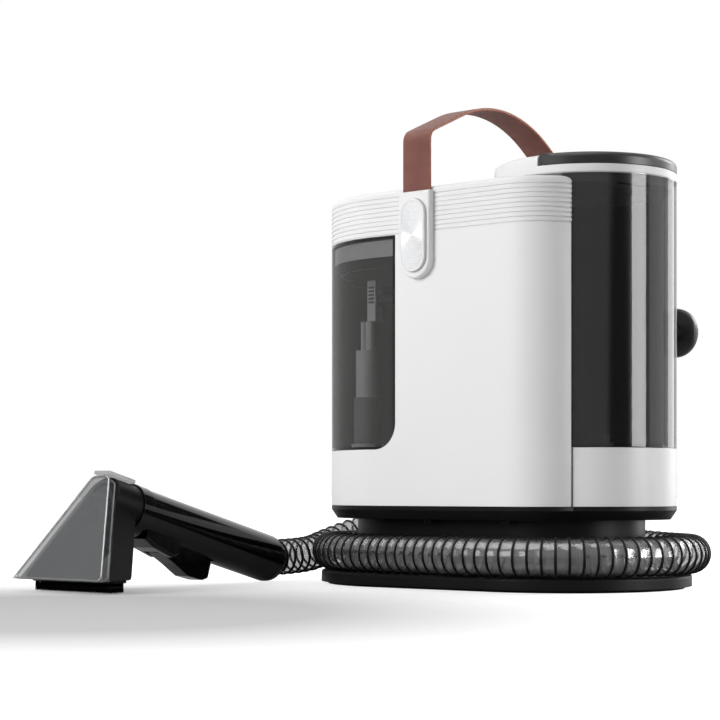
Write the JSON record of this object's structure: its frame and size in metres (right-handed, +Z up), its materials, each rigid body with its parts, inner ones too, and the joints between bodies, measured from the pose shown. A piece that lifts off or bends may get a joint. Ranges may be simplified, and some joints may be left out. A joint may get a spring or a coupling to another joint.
{
  "type": "portable carpet cleaner",
  "caption": "Portable spot carpet cleaner with smoked lift-out water tanks, leather carry strap, wound ribbed hose and a trigger hand tool with a clear suction nozzle.",
  "frame": {"origin": "on the floor under the middle of the foot", "axes": "+X to the clean-water tank, -Y to the front face with the power button, +Z up"},
  "size_m": [0.4282, 0.4768, 0.4066],
  "materials": {
    "white_shell": "satin",
    "black_base": "satin",
    "rubber": "matte",
    "steel": "plain",
    "motor_can": "matte",
    "smoked_clear": "smoked gloss",
    "black_lid": "satin",
    "leather": "grained",
    "silver": "spun",
    "grey_plastic": "matte",
    "clear_hose": "clear with dark ribs",
    "gloss_black": "gloss",
    "clear_cover": "clear gloss",
    "bristle": "matte"
  },
  "bodies": {
    "machine": {"front_cover": "white_shell", "rear_cover": "white_shell", "top_crown": "white_shell", "tank_pedestal": "white_shell", "strap_clip_front": "white_shell", "strap_clip_rear": "white_shell", "foot_plate": "black_base", "base_neck": "black_base", "plinth": "black_base", "bay_liner": "black_base", "cord_hook": "black_base", "cord_gland": "black_base", "exhaust_grille": "black_base", "hose_socket": "black_base", "bulkhead": "black_base", "tank_shelf": "black_base", "power_switch": "black_base", "rubber_sole": "rubber", "base_screws": "steel", "casing_screws": "steel", "strap_screws": "steel", "trigger_pin": "steel", "suction_motor": "motor_can", "carry_strap": "leather", "fan_housing": "grey_plastic", "inlet_duct": "grey_plastic", "air_duct": "grey_plastic", "valve_seat": "grey_plastic", "solution_pump": "grey_plastic", "suction_line": "grey_plastic", "spray_valve": "grey_plastic", "suction_hose": "clear_hose", "handle_left": "gloss_black", "handle_right": "gloss_black", "handle_end": "gloss_black", "handle_collar": "gloss_black"},
    "power_button": {"power_button": "white_shell", "button_inlay": "silver"},
    "impeller": {"impeller": "grey_plastic", "motor_shaft": "steel"},
    "dirty_tank": {"dirty_tank": "smoked_clear", "dirty_lid": "grey_plastic", "lid_gasket": "rubber", "tank_columns": "grey_plastic"},
    "float_collar": {"float_collar": "grey_plastic"},
    "clean_tank": {"clean_tank": "smoked_clear", "tank_cap": "white_shell", "lid_pin": "steel", "valve_body": "grey_plastic"},
    "valve_plunger": {"valve_plunger": "grey_plastic"},
    "fill_lid": {"fill_lid": "black_lid", "lid_plug": "rubber"},
    "trigger": {"trigger": "gloss_black"},
    "release_button": {"release_button": "gloss_black"},
    "nozzle_head": {"nozzle_cover": "clear_cover", "nozzle_body": "gloss_black", "cover_latch": "clear_cover", "brush_strip": "bristle", "spray_tip": "grey_plastic"}
  },
  "joints": [
    {"name": "power_press", "type": "slide", "parent": "machine", "child": "power_button", "axis": [0, 1, 0], "range_m": [0, 0.0015], "stiffness_N_per_m": 400},
    {"name": "impeller_spin", "type": "hinge", "parent": "machine", "child": "impeller", "pos_m": [-0.04, 0, 0.08], "axis": [0, 0, 1], "continuous": true},
    {"name": "dirty_tank_pull", "type": "slide", "parent": "machine", "child": "dirty_tank", "axis": [-1, 0, 0], "range_m": [0, 0.13]},
    {"name": "float_rise", "type": "slide", "parent": "dirty_tank", "child": "float_collar", "axis": [0, 0, 1], "range_m": [0, 0.04]},
    {"name": "clean_tank_lift", "type": "slide", "parent": "machine", "child": "clean_tank", "axis": [0, 0, 1], "range_m": [0, 0.24]},
    {"name": "valve_open", "type": "slide", "parent": "clean_tank", "child": "valve_plunger", "axis": [0, 0, 1], "range_m": [0, 0.004], "stiffness_N_per_m": 100},
    {"name": "fill_lid_open", "type": "hinge", "parent": "clean_tank", "child": "fill_lid", "pos_m": [0.0945, 0, 0.34515], "axis": [0, -1, 0], "range_deg": [0, 95]},
    {"name": "trigger_squeeze", "type": "hinge", "parent": "machine", "child": "trigger", "pos_m": [-0.191, -0.22072, 0.04141], "axis": [1, 0, 0], "range_deg": [0, 10], "stiffness_Nm_per_rad": 1},
    {"name": "release_press", "type": "slide", "parent": "machine", "child": "release_button", "axis": [0, 0.2605, 0.9655], "range_m": [0, 0.002], "stiffness_N_per_m": 300},
    {"name": "nozzle_pull_off", "type": "slide", "parent": "machine", "child": "nozzle_head", "axis": [0, -0.9655, 0.2605], "range_m": [0, 0.06]}
  ]
}
